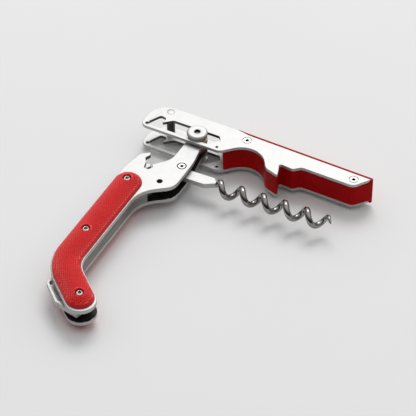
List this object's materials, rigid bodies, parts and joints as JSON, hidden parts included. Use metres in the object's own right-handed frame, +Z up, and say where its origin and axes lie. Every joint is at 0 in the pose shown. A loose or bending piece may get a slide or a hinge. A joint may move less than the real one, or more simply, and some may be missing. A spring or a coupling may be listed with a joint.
{
  "type": "lever corkscrew",
  "caption": "Folding lever corkscrew: twin-plate lever on a sliding pivot, helical worm, foil cutter and knurled grips, lying half open on its side.",
  "frame": {"origin": "on the lever pivot's axis, in the plane that the tool rests on when it lies on its side", "axes": "+Z up through the tool's thickness; +X along the lever towards its foot; -Y along the handle"},
  "size_m": [0.107, 0.1286, 0.0169],
  "materials": {
    "satin_steel": "bead-blasted satin stainless steel",
    "spacer_steel": "machined, with fine grain along its edge",
    "screw_steel": "fine turned",
    "polished_steel": "polished",
    "dark_steel": "blackened",
    "bearing_bronze": "plain bearing bronze",
    "red_grip": "moulded, knurled",
    "red_core": "smooth satin"
  },
  "bodies": {
    "handle": {"handle_plate_top": "satin_steel", "handle_plate_bottom": "satin_steel", "handle_spacer": "spacer_steel", "grip_top": "red_grip", "grip_bottom": "red_grip", "grip_screws_top": "screw_steel", "grip_screws_bottom": "screw_steel", "grip_barrels": "screw_steel", "worm_rivet": "screw_steel", "worm_stop_pin": "dark_steel", "arm_bush": "bearing_bronze", "worm_washers": "bearing_bronze", "cutter_washers": "bearing_bronze"},
    "pivot": {"pivot_knob": "satin_steel", "pivot_barrel": "satin_steel", "pivot_washers": "bearing_bronze"},
    "rollers": {"track_rollers": "bearing_bronze"},
    "lever": {"lever_plate_top": "satin_steel", "lever_plate_bottom": "satin_steel", "lever_core": "red_core", "lever_screws_top": "screw_steel", "lever_screws_bottom": "screw_steel", "lever_barrels": "screw_steel", "lever_post": "dark_steel", "lever_post_rivet": "screw_steel"},
    "worm": {"worm_block": "satin_steel", "worm_screw": "polished_steel"},
    "cutter": {"cutter": "satin_steel"}
  },
  "joints": [
    {"name": "lever_fold", "type": "hinge", "parent": "handle", "child": "pivot", "pos_m": [0, 0, 0], "axis": [0, 0, 1], "range_deg": [-61, 0]},
    {"name": "lever_swing", "type": "hinge", "parent": "pivot", "child": "rollers", "pos_m": [0, 0, 0], "axis": [0, 0, 1], "range_deg": [-5, 60]},
    {"name": "lever_slide", "type": "slide", "parent": "rollers", "child": "lever", "axis": [1, 0, 0], "range_m": [0, 0.0118]},
    {"name": "worm_fold", "type": "hinge", "parent": "handle", "child": "worm", "pos_m": [0.00245, -0.0192, 0], "axis": [0, 0, 1], "range_deg": [-92, 0]},
    {"name": "cutter_open", "type": "hinge", "parent": "handle", "child": "cutter", "pos_m": [0.0036, -0.1101, 0], "axis": [0, 0, 1], "range_deg": [0, 190]}
  ],
  "couplings": [
    {"joint": "worm_fold", "follows": "lever_fold", "ratio": 1.508},
    {"joint": "lever_slide", "follows": "lever_fold", "m_per_rad": -0.01108}
  ]
}
